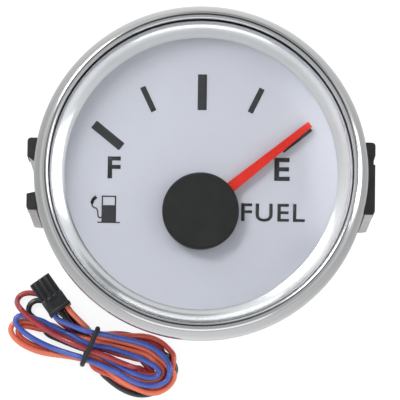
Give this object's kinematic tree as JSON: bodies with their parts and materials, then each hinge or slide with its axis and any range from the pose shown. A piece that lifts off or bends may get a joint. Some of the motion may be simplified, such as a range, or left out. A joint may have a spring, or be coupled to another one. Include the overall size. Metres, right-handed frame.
{
  "type": "fuel gauge",
  "caption": "Round panel fuel gauge with polished bezel, glass over a pale dial, red needle, clamp bracket on two studs, and a tied hank of thin wires with a plug",
  "frame": {"origin": "middle of the gauge's own box, on the surface that the stud tips, the socket and the harness rest on", "axes": "+Z along the gauge's axis, out of the dial; +X to the right of the dial; +Y to the top of the dial"},
  "size_m": [0.0708, 0.0695, 0.057],
  "materials": {
    "bezel_steel": "polished",
    "lens_glass": "clear",
    "black_rubber": "matt",
    "ring_silver": "bright silver",
    "dial_face": "pale blue-grey",
    "dial_ink": "printed",
    "clear_guide": "clear",
    "white_plastic": "white",
    "needle_red": "red",
    "hub_black": "satin",
    "turned_steel": "turned",
    "gear_plastic": "natural",
    "magnet": "sintered",
    "case_black": "moulded",
    "core_iron": "stamped",
    "copper_winding": "enamelled",
    "tinned_contact": "tinned",
    "board_green": "solder mask",
    "capacitor_sleeve": "sleeved",
    "lamp_yellow": "clear",
    "plated_steel": "zinc plated",
    "ribbon_grey": "grey",
    "bracket_steel": "zinc plated",
    "plug_black": "moulded",
    "crimson_insulation": "satin",
    "black_insulation": "satin",
    "salmon_insulation": "satin",
    "blue_insulation": "satin",
    "orange_insulation": "satin"
  },
  "bodies": {
    "gauge": {"bezel": "bezel_steel", "lens": "lens_glass", "lens_seal": "black_rubber", "inner_ring": "ring_silver", "dial_plate": "dial_face", "scale_marks": "dial_ink", "light_guide": "clear_guide", "light_ring": "white_plastic", "gear_pins": "turned_steel", "motor_base": "case_black", "motor_cover": "case_black", "stator_core": "core_iron", "left_coil": "copper_winding", "right_coil": "copper_winding", "motor_pins": "tinned_contact", "circuit_board": "board_green", "control_chip": "case_black", "capacitor": "capacitor_sleeve", "small_parts": "case_black", "lamps": "lamp_yellow", "board_screws": "plated_steel", "case": "case_black", "panel_gasket": "black_rubber", "rear_cover": "case_black", "cover_seal": "black_rubber", "cover_screws": "plated_steel", "studs": "plated_steel", "socket_housing": "case_black", "socket_pins": "tinned_contact", "socket_board": "board_green", "socket_screws": "plated_steel", "lead_ribbon": "ribbon_grey", "plug": "plug_black", "plug_contacts": "tinned_contact", "crimson_wire": "crimson_insulation", "black_wire": "black_insulation", "salmon_wire": "salmon_insulation", "blue_wire": "blue_insulation", "orange_wire": "orange_insulation", "tie": "black_rubber"},
    "pointer": {"needle": "needle_red", "hub_cap": "hub_black", "spindle": "turned_steel", "output_wheel": "gear_plastic"},
    "intermediate": {"intermediate_wheel": "gear_plastic"},
    "rotor": {"rotor_pinion": "case_black", "rotor_magnet": "magnet"},
    "clamp": {"bracket": "bracket_steel", "left_foot": "black_rubber", "right_foot": "black_rubber", "stud_washers": "plated_steel"},
    "left_thumb_nut": {"left_nut": "plated_steel"},
    "right_thumb_nut": {"right_nut": "plated_steel"}
  },
  "joints": [
    {"name": "pointer_turn", "type": "hinge", "parent": "gauge", "child": "pointer", "pos_m": [0, -0.0072, 0.04], "axis": [0, 0, 1], "range_deg": [0, 103]},
    {"name": "intermediate_turn", "type": "hinge", "parent": "gauge", "child": "intermediate", "pos_m": [0, 0.003, 0.035], "axis": [0, 0, 1], "range_deg": [-774, 1]},
    {"name": "rotor_turn", "type": "hinge", "parent": "gauge", "child": "rotor", "pos_m": [0, 0.0126, 0.033], "axis": [0, 0, 1], "range_deg": [-1, 5410]},
    {"name": "clamp_slide", "type": "slide", "parent": "gauge", "child": "clamp", "axis": [0, 0, 1], "range_m": [-0.005, 0.0007]},
    {"name": "left_nut_turn", "type": "hinge", "parent": "clamp", "child": "left_thumb_nut", "pos_m": [-0.0175, 0, 0.0077], "axis": [0, 0, 1], "range_deg": [-361, 2573]},
    {"name": "right_nut_turn", "type": "hinge", "parent": "clamp", "child": "right_thumb_nut", "pos_m": [0.0175, 0, 0.0077], "axis": [0, 0, 1], "range_deg": [-361, 2573]}
  ],
  "couplings": [
    {"joint": "intermediate_turn", "follows": "pointer_turn", "ratio": -7.5},
    {"joint": "rotor_turn", "follows": "pointer_turn", "ratio": 52.5},
    {"joint": "left_nut_turn", "follows": "clamp_slide", "rad_per_m": -8976},
    {"joint": "right_nut_turn", "follows": "clamp_slide", "rad_per_m": -8976}
  ]
}
